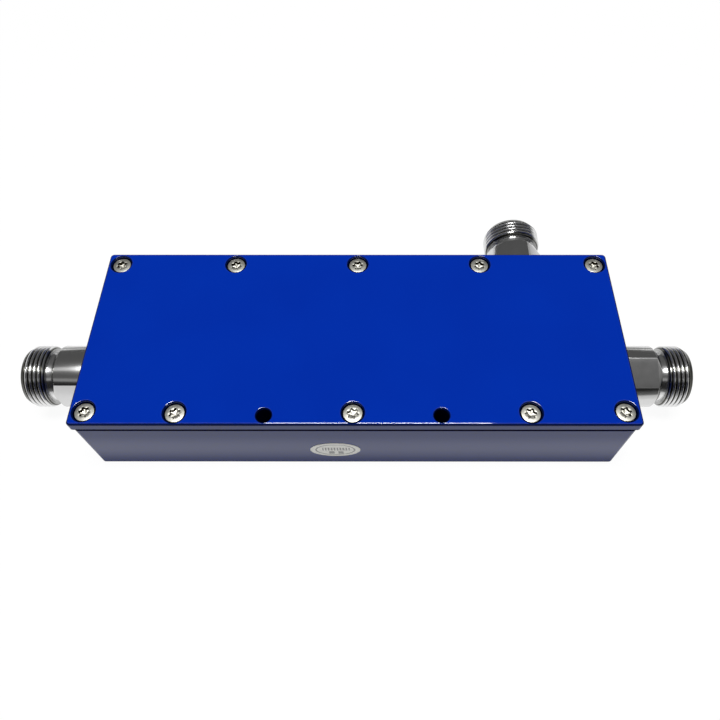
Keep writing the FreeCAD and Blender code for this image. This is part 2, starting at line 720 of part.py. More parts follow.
def make_block(name, length, width, height, place):
    """A plain rectangular piece, given by the middle of its underside."""
    x, y, z = place
    block = document.addObject("Part::Box", name)
    block.setExpression("Length", length)
    block.setExpression("Width", width)
    block.setExpression("Height", height)
    put(block, vector(f"{x} - {length} / 2", f"{y} - {width} / 2", z))
    return block


def make_label():
    """Thin oval sticker on the front face."""
    oval = document.addObject("Part::Ellipse", "label_outline")
    oval.setExpression("MajorRadius", "sizes.label_width / 2")
    oval.setExpression("MinorRadius", "sizes.label_height / 2")
    label = document.addObject("Part::Extrusion", "inspection_label")
    label.Base = oval
    label.DirMode = "Custom"
    label.Dir = FreeCAD.Vector(0, 0, 1)
    label.Solid = True
    label.setExpression("LengthFwd", "sizes.label_thickness")
    place = vector("-sizes.label_offset", f"-{HOUSING_WIDTH} / 2", "sizes.label_centre_height")
    put(label, place, "rotationx(90)")
    return label


# Each jack's seat and turn. Its first wrench flat faces up, tilted towards the front on
# the two end jacks and towards the left on the coupled jack.
JACKS = {
    "input": (
        vector(f"{HOUSING_LENGTH} / 2", MAIN_ROW, LINE_AXIS),
        "rotationy(90) * rotationz(180 + sizes.input_flat_tilt)",
    ),
    "output": (
        vector(f"-{HOUSING_LENGTH} / 2", MAIN_ROW, LINE_AXIS),
        "rotationy(-90) * rotationz(-sizes.output_flat_tilt)",
    ),
    "coupled": (
        vector(COUPLED_PLACE, f"{HOUSING_WIDTH} / 2", LINE_AXIS),
        "rotationx(-90) * rotationz(270 - sizes.coupled_flat_tilt)",
    ),
}

parts = [make_housing(), make_cover(), make_label()]

cover_screw = make_six_lobe_screw("cover_screw", "sizes.cover_screw_length")
parts.append(group("cover_screws", cover_screw, [vector(x, y, COUNTERBORE_FLOOR) for x, y in SCREW_PLACES]))

for port, (seat, turn) in JACKS.items():
    for make, piece in (
        (make_jack_shell, "shell"),
        (make_jack_insulator, "insulator"),
        (make_jack_contact, "contact"),
    ):
        body = make(f"{port}_jack_{piece}")
        put(body, seat, turn)
        parts.append(body)

parts += [make_main_line(), make_coupled_line()]
parts += [make_post(f"main_line_post_{side}", x, y) for side, x, y in MAIN_POST_PLACES]
parts += [make_post(f"coupled_line_post_{side}", x, y) for side, x, y in COUPLED_POST_PLACES]
line_top = f"{LINE_AXIS} + sizes.line_thickness / 2"
parts.append(group("line_screws", make_line_screw(), [vector(x, y, line_top) for side, x, y in POST_PLACES]))

parts.append(make_load_flange())
load_x = f"-{COUPLED_PLACE}"
substrate_floor = f"(sizes.floor_thickness + {LOAD_FLANGE_HEIGHT})"
lead_floor = f"({substrate_floor} + sizes.load_substrate_height)"
cap_floor = f"({lead_floor} + sizes.load_lead_height)"
lead_length = "(sizes.load_flange_width / 2 + sizes.load_cap_width / 4 + sizes.load_lead_reach)"
lead_row = f"({LOAD_ROW} - sizes.load_flange_width / 2 - sizes.load_lead_reach + {lead_length} / 2)"
parts += [
    make_block(
        "load_substrate", "sizes.load_substrate_length", "sizes.load_flange_width",
        "sizes.load_substrate_height", (load_x, LOAD_ROW, substrate_floor),
    ),
    make_block(
        "load_lead", "sizes.load_lead_width", lead_length,
        "sizes.load_lead_height", (load_x, lead_row, lead_floor),
    ),
    make_block(
        "load_cap", "sizes.load_cap_length", "sizes.load_cap_width",
        "sizes.load_cap_height", (load_x, LOAD_ROW, cap_floor),
    ),
]
load_screw = make_six_lobe_screw("load_screw", "sizes.load_screw_length")
load_screw_places = [vector(f"{load_x} + {x}", LOAD_ROW, substrate_floor) for x, y in LOAD_HOLE_PLACES]
parts.append(group("load_screws", load_screw, load_screw_places))

document.recompute()

for item in document.Objects:
    if "Invalid" in item.State or "Error" in item.State:
        raise RuntimeError(f"{item.Name} could not be built: {item.State}")
for piece in parts:
    if piece.Shape.isNull() or not piece.Shape.isValid():
        raise RuntimeError(f"{piece.Label} has no valid shape")

os.makedirs("parts", exist_ok=True)
for piece in parts:
    piece.Shape.exportStep(f"parts/{piece.Label}.step")
    solids = len(piece.Shape.Solids)
    print(f"{piece.Label}: {solids} solid(s), {piece.Shape.Volume:.1f} mm3")
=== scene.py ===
"""Looks of the directional coupler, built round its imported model.

The sections follow the coupler as it is put together: the housing, the load and the
lines inside it, the three jacks, the cover with its screws, and the sticker. The floor,
the lamp, the room and the camera come last. Lengths are in metres.
"""

import math

import bmesh
import bpy
from mathutils import Matrix, Vector


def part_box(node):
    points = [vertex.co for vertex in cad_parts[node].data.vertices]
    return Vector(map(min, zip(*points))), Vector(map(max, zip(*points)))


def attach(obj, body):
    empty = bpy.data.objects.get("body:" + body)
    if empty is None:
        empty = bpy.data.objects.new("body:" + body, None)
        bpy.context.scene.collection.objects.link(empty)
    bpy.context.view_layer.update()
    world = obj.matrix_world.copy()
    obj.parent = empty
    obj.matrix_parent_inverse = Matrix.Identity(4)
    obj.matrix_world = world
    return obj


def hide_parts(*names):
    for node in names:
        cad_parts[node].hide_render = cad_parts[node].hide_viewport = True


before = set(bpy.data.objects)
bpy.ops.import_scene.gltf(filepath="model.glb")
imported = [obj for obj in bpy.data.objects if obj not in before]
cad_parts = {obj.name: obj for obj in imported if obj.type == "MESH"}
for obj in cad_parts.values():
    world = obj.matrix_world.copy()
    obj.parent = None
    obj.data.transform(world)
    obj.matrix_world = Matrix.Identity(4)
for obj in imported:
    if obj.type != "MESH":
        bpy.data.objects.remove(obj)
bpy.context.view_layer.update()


# Housing: a box milled from an aluminium bar, closed by the cover on top.
# It is sprayed blue all over and cured to a hard gloss, which keeps the slight
# waviness of a sprayed coat.

MM = 0.001
PAINT_BLUE = (0.0, 0.031, 0.47, 1)
PAINT_BLUE_THIN = (0.0, 0.040, 0.54, 1)
# The sides and the rounded edges are painted darker than the top: painted shade.
PAINT_SHADED_ON_SIDES = (0.0, 0.024, 0.215, 1)
PAINT_SHADED_ON_EDGES = (0.0, 0.008, 0.08, 1)
SHADE_BLACK = (0.0, 0.001, 0.03, 1)
# Black painted shade covers the joint between its two heights, and all that lies below the
# holes' rims and deeper than the skin of the housing's outer faces.
JOINT_LOW, JOINT_HIGH = 18.87 * MM, 20.6 * MM
INSIDE_TOP = 22.4 * MM
OUTER_SKIN = 0.2 * MM
# Where the paint changes, given as the Z of the surface's normal: from the sides to the
# rounded edges, from those to the top, and from the top's rim to its level middle.
EDGES_FROM, TOP_FROM, LEVEL_FROM = 0.12, 0.93, 0.995
# The Y of the normal up to which a rounded edge is one of the front's.
FRONT_TO = -0.6
# How much of the gloss is lost on the sides, on all edges but the front's, and on the top.
DULL_SIDES, DULL_EDGES, DULL_TOP = 0.3, 0.95, 0.85
housing_low, housing_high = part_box("housing")


class Wire:
    """An output socket of a finish's nodes. Expressions on it add Math nodes to them."""

    def __init__(self, tree, socket=None):
        self.tree = tree
        self.socket = socket

    def node(self, kind, settings=None, inputs=None, output=0):
        """Add a node, set it up, feed its sockets, and give one of its outputs."""
        made = self.tree.nodes.new(kind)
        for name, value in (settings or {}).items():
            setattr(made, name, value)
        feed(made, inputs or {})
        return Wire(self.tree, made.outputs[output])

    def out(self, output):
        """Another output of the same node."""
        return Wire(self.tree, self.socket.node.outputs[output])

    def calculate(self, operation, first, second=0.0):
        """What one Math node makes of two wires or numbers."""
        return self.node("ShaderNodeMath", {"operation": operation}, {0: first, 1: second})

    def __add__(self, other):
        return self.calculate("ADD", self, other)

    def __radd__(self, other):
        return self.calculate("ADD", other, self)

    def __sub__(self, other):
        return self.calculate("SUBTRACT", self, other)

    def __rsub__(self, other):
        return self.calculate("SUBTRACT", other, self)

    def __mul__(self, other):
        return self.calculate("MULTIPLY", self, other)

    def __rmul__(self, other):
        return self.calculate("MULTIPLY", other, self)

    def __pow__(self, power):
        return self.calculate("POWER", self, power)

    def __abs__(self):
        return self.calculate("ABSOLUTE", self)


def feed(node, inputs):
    """Link or set a node's sockets, given by name or number."""
    for name, value in inputs.items():
        if isinstance(value, Wire):
            node.id_data.links.new(value.socket, node.inputs[name])
        else:
            node.inputs[name].default_value = value


def split(vector):
    """The X, Y and Z of a vector."""
    x = vector.node("ShaderNodeSeparateXYZ", {}, {"Vector": vector}, output="X")
    return x, x.out("Y"), x.out("Z")


def larger(first, second):
    """The larger of two wires."""
    return first.calculate("MAXIMUM", first, second)


def step(wire, edge, width):
    """0 below an edge and 1 above it, with a soft rise of the given width."""
    reach = {"Value": wire, "From Min": edge - width / 2, "From Max": edge + width / 2}
    return wire.node("ShaderNodeMapRange", {"interpolation_type": "SMOOTHSTEP"}, reach)


def between(wire, low, high, width):
    """1 between two edges and 0 outside them, with a soft rise and fall."""
    return step(wire, low, width) - step(wire, high, width)


def noise(place, size, detail=2.0):
    """Cloudy noise from 0 to 1 whose lumps are about as large as the given size."""
    return place.node("ShaderNodeTexNoise", {}, {"Vector": place, "Scale": 1 / size, "Detail": detail})


def tint(mask, first, second):
    """The first colour where the mask is 0, and the second where it is 1."""
    return mask.node("ShaderNodeMix", {"data_type": "RGBA"}, {0: mask, 6: first, 7: second}, output=2)


def bump(relief, height):
    """Normals of a relief whose values from 0 to 1 stand for the given height."""
    return relief.node("ShaderNodeBump", {}, {"Height": relief, "Distance": height, "Strength": 1.0})


def make_finish(name, surface):
    """A material whose surface is worked out from the piece's own coordinates."""
    material = bpy.data.materials.new(name)
    material.use_nodes = True
    place = Wire(material.node_tree).node("ShaderNodeTexCoord", output="Object")
    feed(material.node_tree.nodes["Principled BSDF"], surface(place))
    return material


def dress(name, material):
    """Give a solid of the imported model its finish."""
    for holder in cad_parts[name].material_slots:
        holder.material = material


def sprayed_blue(place):
    """Blue enamel: wavy over a few millimetres, a little paler where it is thin.

    Its edges and sides are painted darker than its top, as painted shade. The joint below
    the cover, the holes and the pocket are painted black, as painted shade, with no gloss.
    """
    x, y, z = split(place)
    joint = between(z, JOINT_LOW, JOINT_HIGH, width=0.2 * MM)
    inside = 1 - step(z, INSIDE_TOP, width=0.3 * MM)
    for across, reach in ((x, housing_high.x), (y, housing_high.y)):
        inside = inside * (1 - step(abs(across), reach - OUTER_SKIN, width=0.05 * MM))
    # The joint and the inside are painted black as shade.
    shade_black_or_plain_steel = larger(joint, inside)
    _, back, up = split(place.out("Normal"))
    top = step(up, TOP_FROM, width=0.08)
    edge = step(up, EDGES_FROM, width=0.12) - top
    dull_edge = edge * step(back, FRONT_TO, width=0.2)
    level_top = step(up, LEVEL_FROM, width=0.006)
    dull = DULL_SIDES * (1 - top - edge) + DULL_EDGES * dull_edge + DULL_TOP * level_top
    clouds = noise(place, 21 * MM)
    on_top = tint(clouds, PAINT_BLUE, PAINT_BLUE_THIN)
    # The sides and the rounded edges get the darker paint as painted shade.
    paint = tint(top, tint(edge, PAINT_SHADED_ON_SIDES, PAINT_SHADED_ON_EDGES), on_top)
    return {
        "Base Color": tint(shade_black_or_plain_steel, paint, SHADE_BLACK),
        "Roughness": 0.30 + 0.06 * clouds,
        "Specular IOR Level": 0.0,
        "Coat Weight": (1 - dull) * (1 - shade_black_or_plain_steel),
        "Coat Roughness": 0.03,
        "Coat IOR": 1.8,
        "Normal": bump(noise(place, 2.4 * MM, detail=1.0), height=0.002 * MM),
    }


blue_paint = make_finish("blue_paint", sprayed_blue)
dress("housing", blue_paint)


# Load: a resistor on a nickel-plated flange that ends the coupled line.
# Two screws hold the flange to the housing's floor. Its ceramic carries the film, a cap
# and the lead that is soldered to the line.

NICKEL_DULL, NICKEL_CLEAR = (0.56, 0.54, 0.48, 1), (0.63, 0.61, 0.56, 1)
ALUMINA_GREY, ALUMINA_WHITE = (0.78, 0.77, 0.73, 1), (0.86, 0.85, 0.82, 1)
SILVER_DULL, SILVER_CLEAR = (0.80, 0.78, 0.72, 1), (0.92, 0.90, 0.85, 1)
# The grain is drawn out into lines by this share of its scale along X.
ROLLED_SCALE = 0.05


def plated_nickel(place):
    """Dull nickel plating with the faint clouds of the bath."""
    clouds = noise(place, 3 * MM)
    return {
        "Base Color": tint(clouds, NICKEL_DULL, NICKEL_CLEAR),
        "Metallic": 1.0,
        "Roughness": 0.28 + 0.12 * clouds,
    }


def fired_ceramic(place):
    """White alumina with a fine matt grain."""
    grain = noise(place, 0.12 * MM, detail=3.0)
    return {
        "Base Color": tint(grain, ALUMINA_GREY, ALUMINA_WHITE),
        "Roughness": 0.55 + 0.15 * grain,
        "Normal": bump(grain, height=0.004 * MM),
    }


def rolled_silver(place):
    """Silver plating over rolled brass, with fine lines along X."""
    stretched = {"Vector": place, "Scale": (ROLLED_SCALE, 1, 1)}
    lines = noise(place.node("ShaderNodeMapping", {}, stretched), 0.08 * MM, detail=3.0)
    return {
        "Base Color": tint(lines, SILVER_DULL, SILVER_CLEAR),
        "Metallic": 1.0,
        "Roughness": 0.22 + 0.14 * lines,
        "Normal": bump(lines, height=0.003 * MM),
    }


nickel = make_finish("load_nickel", plated_nickel)
ceramic = make_finish("load_ceramic", fired_ceramic)
silver = make_finish("line_silver", rolled_silver)
dress("load_flange", nickel)
dress("load_screws", nickel)
dress("load_substrate", ceramic)
dress("load_cap", ceramic)
dress("load_lead", silver)


# Lines: two silver-plated brass bars, the straight main line and the stepped coupled one.
# They stand on PTFE posts pressed into the floor, and a nylon screw holds them down on
# each post.

PTFE_GREY, PTFE_WHITE = (0.84, 0.84, 0.82, 1), (0.90, 0.90, 0.88, 1)
PTFE_DEPTH = (0.4 * MM, 0.4 * MM, 0.35 * MM)
NYLON_DARK, NYLON_IVORY = (0.76, 0.73, 0.64, 1), (0.82, 0.80, 0.72, 1)


def turned_ptfe(place):
    """White PTFE with a waxy sheen and the turning tool's faint marks."""
    marks = noise(place, 0.3 * MM)
    return {
        "Base Color": tint(marks, PTFE_GREY, PTFE_WHITE),
        "Roughness": 0.42 + 0.12 * marks,
        "Subsurface Weight": 0.15,
        "Subsurface Radius": PTFE_DEPTH,
        "Subsurface Scale": 1.0,
        "Normal": bump(marks, height=0.004 * MM),
    }


def moulded_nylon(place):
    """Ivory nylon, smooth from the mould."""
    clouds = noise(place, 1.2 * MM)
    return {
        "Base Color": tint(clouds, NYLON_DARK, NYLON_IVORY),
        "Roughness": 0.36 + 0.1 * clouds,
    }


ptfe = make_finish("ptfe", turned_ptfe)
nylon = make_finish("nylon", moulded_nylon)
for line in ("main_line", "coupled_line"):
    dress(line, silver)
    for side in ("left", "middle", "right"):
        dress(f"{line}_post_{side}", ptfe)
dress("line_screws", nylon)


# Jacks: three type-N sockets, each screwed into a port of the housing.
# A slotted gold-plated contact stands in a PTFE bead inside a turned steel shell, which
# has two wrench flats, a relief groove and an outside thread of 24 turns to the inch.

# The stub in the housing's wall, the body with its two flats, and the relief. A shell's
# heights count from its seat on the housing's face towards its mouth.
WALL = 7.0 * MM
STUB_RADIUS = 6.35 * MM
BODY_RADIUS = 7.94 * MM
FLAT_DISTANCE = 6.95 * MM
BODY_LENGTH = 10.8 * MM
SHOULDER = 1.1 * MM
RELIEF_RADIUS = 6.45 * MM
EASED_EDGE = 0.1 * MM

# The socket, and the throat and the bore that hold the bead.
JACK_LENGTH = 18.3 * MM
MOUTH_CHAMFER = 0.3 * MM
SOCKET_RADIUS = 4.05 * MM
SOCKET_FLOOR = 9.2 * MM
THROAT_RADIUS = 3.5 * MM
BEAD_RADIUS = 4.0 * MM
BEAD_SHOULDER = 7.7 * MM

# The thread, with a chamfer behind it and a longer nose in front. Each of its rows has a
# place along the pitch, and a depth as a share of the groove's.
THREAD_START = 12.2 * MM
FIRST_CREST = 12.36 * MM
PITCH = 25.4 / 24 * MM
CREST_RADIUS = 7.94 * MM
THREAD_DEPTH = 0.62 * MM
REAR_CHAMFER = 0.7 * MM
NOSE_LENGTH = 1.6 * MM
NOSE_DEPTH = 1.0 * MM
THREAD_ROWS = (
    (0.00, 0.00), (0.08, 0.01), (0.14, 0.05), (0.20, 0.18), (0.29, 0.52), (0.39, 0.94),
    (0.50, 1.00), (0.61, 0.94), (0.71, 0.52), (0.80, 0.18), (0.86, 0.05), (0.92, 0.01),
)

# The points of a ring: the angles beside each crease between a flat and the round body,
# and how many points lie across a flat and across a round stretch.
CREASE_STEPS = [math.radians(degrees) for degrees in (-1.6, -0.8, -0.3, 0.3, 0.8, 1.6)]
LEAST_CREASE = math.radians(9)
FLAT_POINTS = 6
ROUND_POINTS = 38
SHARP_ANGLE = math.radians(38)
WELD_REACH = 0.0005 * MM
# A face belongs to a flat if it looks across the jack and lies this near to the flat.
FLAT_NORMAL = 0.999
FLAT_REACH = 0.02 * MM

# The thread's groove is painted dark below this radius as shade, with a soft change to the crest.
GROOVE_TOP = CREST_RADIUS - 0.38 * MM
GROOVE_FADE = 0.34 * MM
GROOVE_SHADE_STRENGTH = 0.95
GROOVE_SHADE_BLACK = (0.02, 0.02, 0.01, 1)
THREAD_GREY, THREAD_BRIGHT = (0.76, 0.76, 0.76, 1), (0.86, 0.86, 0.86, 1)
FLAT_GREY, FLAT_BRIGHT = (0.66, 0.66, 0.66, 1), (0.74, 0.74, 0.74, 1)
BODY_GREY, BODY_BRIGHT = (0.64, 0.64, 0.64, 1), (0.74, 0.74, 0.73, 1)
GOLD_DEEP, GOLD_PALE = (0.93, 0.62, 0.22, 1), (0.98, 0.72, 0.32, 1)
STEEL_CLOUDS = 2.5 * MM
TOOL_RINGS = 0.35 * MM


def eased(points, size):
    """A profile with each of its corners cut back by a small curve."""
    places = [Vector(point) for point in points]
    smooth = [places[0]]
    for before, corner, after in zip(places, places[1:], places[2:]):
        back = min(size, (before - corner).length / 3)
        ahead = min(size, (after - corner).length / 3)
        start = corner + (before - corner).normalized() * back
        end = corner + (after - corner).normalized() * ahead
        smooth += [start, (start + 2 * corner + end) / 4, end]
    return smooth + [places[-1]]


def ring_angles(crease):
    """Angles of a ring's points from the first flat's normal, gathered at the four creases."""
    angles = []
    for side in (0, math.pi):
        across_flat = (side, crease, FLAT_POINTS)
        across_round = (side + math.pi / 2, math.pi / 2 - crease, ROUND_POINTS)
        for middle, reach, count in (across_flat, across_round):
            start = middle - reach
            angles += [start + angle for angle in CREASE_STEPS]
            inner = reach + CREASE_STEPS[0]
            angles += [middle + inner * (2 * (n + 1) / (count + 1) - 1) for n in range(count)]
    return angles


def shell_ring(radius, height, flats=False):
    """One ring of points of a shell, cut by its two flats where it has them."""
    crease = math.acos(min(1, FLAT_DISTANCE / radius)) if flats else 0
    points = []
    for angle in ring_angles(max(crease, LEAST_CREASE)):
        reach = radius
        if flats:
            flat = FLAT_DISTANCE / max(abs(math.cos(angle)), 1e-6)
            blend = max(EASED_EDGE - abs(radius - flat), 0)
            reach = min(radius, flat) - blend * blend / (4 * EASED_EDGE)
        points.append(Vector((reach * math.cos(angle), reach * math.sin(angle), height)))
    return points


def join_rings(mesh, rings):
    """Faces between rings of equally many points."""
    rows = [[mesh.verts.new(point) for point in ring] for ring in rings]
    for lower, upper in zip(rows, rows[1:]):
        for n in range(len(lower)):
            mesh.faces.new((lower[n - 1], lower[n], upper[n], upper[n - 1]))


def thread_radius(height, depth):
    """How far out the thread reaches, which the chamfers of its two ends cut back."""
    rear = CREST_RADIUS - REAR_CHAMFER + (height - THREAD_START)
    nose = CREST_RADIUS - NOSE_DEPTH + (JACK_LENGTH - height) * NOSE_DEPTH / NOSE_LENGTH
    return min(CREST_RADIUS - depth * THREAD_DEPTH, rear, nose)


def cut_thread(mesh):
    """The thread between the relief and the mouth, as one strip of rows wound up a helix."""
    angles = [angle % (2 * math.pi) for angle in ring_angles(LEAST_CREASE)]
    first = angles.index(min(angles))
    angles = angles[first:] + angles[:first]
    turns_below = math.ceil((FIRST_CREST - THREAD_START) / PITCH) + 1
    turns_above = math.ceil((JACK_LENGTH - FIRST_CREST) / PITCH)
    rows = []
    for turn in range(-turns_below, turns_above + 1):
        for share, depth in THREAD_ROWS:
            row = []
            for angle in angles:
                height = FIRST_CREST + (turn + share + angle / (2 * math.pi)) * PITCH
                height = min(max(height, THREAD_START), JACK_LENGTH)
                reach = thread_radius(height, depth)
                row.append(mesh.verts.new((reach * math.cos(angle), reach * math.sin(angle), height)))
            rows.append(row)
    rows_a_turn = len(THREAD_ROWS)
    for number in range(len(rows) - 1 - rows_a_turn):
        lower = rows[number] + rows[number + rows_a_turn][:1]
        upper = rows[number + 1] + rows[number + 1 + rows_a_turn][:1]
        for n in range(len(angles)):
            corners = (lower[n], lower[n + 1], upper[n + 1], upper[n])
            heights = [corner.co.z for corner in corners]
            if max(heights) > THREAD_START and min(heights) < JACK_LENGTH:
                mesh.faces.new(corners)


def finish_piece(name, mesh, place):
    """Turn a built mesh into a shaded object at its place on the coupler."""
    data = bpy.data.meshes.new(name)
    mesh.to_mesh(data)
    mesh.free()
    data.shade_smooth()
    data.set_sharp_from_angle(angle=SHARP_ANGLE)
    piece = bpy.data.objects.new(name, data)
    bpy.context.scene.collection.objects.link(piece)
    piece.matrix_world = place
    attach(piece, "root")
    return piece


def make_shell(name, seat):
    """One shell as a closed turned form, with its seat at height 0 and its mouth along Z."""
    mesh = bmesh.new()
    body = eased([
        (BEAD_RADIUS, BEAD_SHOULDER),
        (BEAD_RADIUS, -WALL),
        (STUB_RADIUS, -WALL),
        (STUB_RADIUS, 0),
        (BODY_RADIUS, 0),
        (BODY_RADIUS, BODY_LENGTH - SHOULDER),
        (BODY_RADIUS - SHOULDER, BODY_LENGTH),
        (RELIEF_RADIUS, BODY_LENGTH),
    ], EASED_EDGE)
    relief = eased([
        (RELIEF_RADIUS, BODY_LENGTH),
        (RELIEF_RADIUS, THREAD_START),
        (CREST_RADIUS - REAR_CHAMFER, THREAD_START),
    ], EASED_EDGE)
    mouth = eased([
        (CREST_RADIUS - NOSE_DEPTH, JACK_LENGTH),
        (SOCKET_RADIUS + MOUTH_CHAMFER, JACK_LENGTH),
        (SOCKET_RADIUS, JACK_LENGTH - MOUTH_CHAMFER),
        (SOCKET_RADIUS, SOCKET_FLOOR),
        (THROAT_RADIUS, SOCKET_FLOOR),
        (THROAT_RADIUS, BEAD_SHOULDER),
        (BEAD_RADIUS, BEAD_SHOULDER),
    ], EASED_EDGE / 2)
    on_body = [height >= 0 and radius > RELIEF_RADIUS for radius, height in body]
    rings = [shell_ring(radius, height, flats) for (radius, height), flats in zip(body, on_body)]
    join_rings(mesh, rings + [shell_ring(*point) for point in relief])
    join_rings(mesh, [shell_ring(*point) for point in mouth])
    cut_thread(mesh)
    bmesh.ops.remove_doubles(mesh, verts=mesh.verts, dist=WELD_REACH)
    bmesh.ops.recalc_face_normals(mesh, faces=mesh.faces)
    return finish_piece(name, mesh, seat)


def turned_steel(place):
    """Bright turned steel of the relief, the thread and the socket.

    The tool's rings run round the axis and draw a highlight out along it. The bottom of
    the thread's groove is painted dark as shade, but not the inside of the socket.
    """
    x, y, z = split(place)
    radius = (x * x + y * y) ** 0.5
    groove = (1 - step(radius, GROOVE_TOP, GROOVE_FADE)) * step(z, THREAD_START, width=0.1 * MM)
    outside = step(radius, RELIEF_RADIUS - 0.3 * MM, width=0.1 * MM)
    clouds = noise(place, STEEL_CLOUDS)
    shade_black_or_plain_steel = tint(clouds, THREAD_GREY, THREAD_BRIGHT)
    return {
        # The groove's bottom is painted dark as shade.
        "Base Color": tint(GROOVE_SHADE_STRENGTH * groove * outside, shade_black_or_plain_steel, GROOVE_SHADE_BLACK),
        "Metallic": 1.0,
        "Roughness": 0.20 + 0.03 * clouds,
        "Anisotropic": 0.5,
        "Anisotropic Rotation": 0.25,
    }


def milled_steel(place):
    """Steel of the wrench flats and of the back jack's whole body: even and a little dull."""
    clouds = noise(place, STEEL_CLOUDS)
    return {
        "Base Color": tint(clouds, FLAT_GREY, FLAT_BRIGHT),
        "Metallic": 1.0,
        "Roughness": 0.14 + 0.04 * clouds,
    }


def satin_steel(place):
    """Steel of the end jacks' round bodies: duller, with the tool's faint rings."""
    _, _, height = split(place)
    along = {"W": height * (1 / TOOL_RINGS), "Detail": 3.0}
    rings = height.node("ShaderNodeTexNoise", {"noise_dimensions": "1D"}, along)
    return {
        "Base Color": tint(rings, BODY_GREY, BODY_BRIGHT),
        "Metallic": 1.0,
        "Roughness": 0.19 + 0.03 * noise(place, STEEL_CLOUDS),
        "Anisotropic": 0.5,
        "Anisotropic Rotation": 0.25,
        "Normal": bump(rings, height=0.0015 * MM),
    }


def plated_gold(place):
    """Thin hard gold over beryllium copper."""
    clouds = noise(place, 0.8 * MM)
    return {
        "Base Color": tint(clouds, GOLD_DEEP, GOLD_PALE),
        "Metallic": 1.0,
        "Roughness": 0.16 + 0.08 * clouds,
    }


jack_metals = [
    make_finish("jack_body_metal", satin_steel),
    make_finish("jack_metal", turned_steel),
    make_finish("jack_flat_metal", milled_steel),
]
SATIN, TURNED, MILLED = range(len(jack_metals))
gold = make_finish("contact_gold", plated_gold)
UP_TO_RIGHT = Matrix.Rotation(math.radians(90), 4, "Y")
UP_TO_LEFT = Matrix.Rotation(math.radians(-90), 4, "Y")
UP_TO_BACK = Matrix.Rotation(math.radians(-90), 4, "X")

# Each jack: the corner of the housing's box that holds its face, the way it points, the
# turn that brings its first flat to the tilt it has in the photograph, and its body's metal.
JACKS = {
    "input": ("x", housing_high, UP_TO_RIGHT, 180 + 22.0, SATIN),
    "output": ("x", housing_low, UP_TO_LEFT, -75.5, SATIN),
    "coupled": ("y", housing_high, UP_TO_BACK, 270 + 50.0, MILLED),
}
for port, (axis, face, pointing, turn, body_metal) in JACKS.items():
    # The jack's axis is its contact's, and its seat is on the housing's face.
    low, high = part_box(f"{port}_jack_contact")
    seat = (low + high) / 2
    setattr(seat, axis, getattr(face, axis))
    turned = Matrix.Rotation(math.radians(turn), 4, "Z")
    shell = make_shell(f"{port}_shell", Matrix.Translation(seat) @ pointing @ turned)
    for metal in jack_metals:
        shell.data.materials.append(metal)
    for polygon in shell.data.polygons:
        off_the_flat = abs(abs(polygon.center.x) - FLAT_DISTANCE)
        if abs(polygon.normal.x) > FLAT_NORMAL and off_the_flat < FLAT_REACH:
            polygon.material_index = MILLED
        else:
            polygon.material_index = TURNED if polygon.center.z > BODY_LENGTH else body_metal
    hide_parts(f"{port}_jack_shell")
    dress(f"{port}_jack_insulator", ptfe)
    dress(f"{port}_jack_contact", gold)


# Cover: a flat plate a little larger than the housing, painted with it.
# It lies on the housing's rim, and its ten screws are sunk in counterbores.

dress("cover_plate", blue_paint)


# Cover screws: ten stainless screws with low domed heads and six-lobe recesses.
# They pull the cover down onto the housing and stop just below its face.

HEAD_RADIUS = 2.3 * MM
HEAD_HEIGHT = 1.5 * MM
HEAD_SIDE = 1.2 * MM
DOME_RISE = 0.2 * MM
SHANK_RADIUS = 1.25 * MM
SHANK_LENGTH = 8.0 * MM
POINT_CHAMFER = 0.3 * MM
LOBE_RADIUS = 1.4 * MM
FLUTE_RADIUS = 0.68 * MM
FLUTE_PLACE = 1.7 * MM
RECESS_DEPTH = 1.0 * MM
RECESS_POINT = 0.25 * MM
RECESS_RIM = 0.05 * MM
RECESS_TAPER = 0.96
TIP_RADIUS = 0.01 * MM
HEAD_POINTS = 96
# The head's rounded edge, as steps inwards and upwards from the top of its side, and the
# rings of its dome.
HEAD_EDGE = ((0, 0), (0.03 * MM, 0.07 * MM), (0.07 * MM, 0.11 * MM))
DOME_RINGS = (HEAD_RADIUS - 0.12 * MM, 0.86 * HEAD_RADIUS, 0.74 * HEAD_RADIUS)
# The recess's rounded rim, as shares of its size outwards and down.
RIM_CURVE = ((1, 0), (0.3, 0.3), (0, 1))

# The rows of screws in millimetres: each row's Y, and its screws' X.
SCREW_ROWS = (
    (21.7, (-62.7, -32.3, 0.0, 32.3, 62.7)),
    (-21.7, (-62.7, 62.7)),
    (-22.0, (-41.7, -0.5, 40.7)),
)
# Each screw came to stand turned this much further than the one before.
SCREW_TURN = math.radians(17)
screw_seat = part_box("cover_screws")[1].z - HEAD_HEIGHT

STEEL_WARM, STEEL_PALE = (0.69, 0.68, 0.60, 1), (0.79, 0.78, 0.71, 1)
# The recess is darkened partly by oil and partly as painted shade; its steep walls and the head's side
# are painted dark as shade.
STEEL_OIL_AND_SHADE = (0.09, 0.075, 0.035, 1)
STEEL_SHADED = (0.035, 0.025, 0.012, 1)
OIL_AND_SHADE_BELOW = screw_seat + HEAD_HEIGHT - 0.5 * MM


def round_ring(radius, height=0):
    """A plain ring of a screw."""
    angles = [2 * math.pi * n / HEAD_POINTS for n in range(HEAD_POINTS)]
    return [Vector((radius * math.cos(angle), radius * math.sin(angle), height)) for angle in angles]


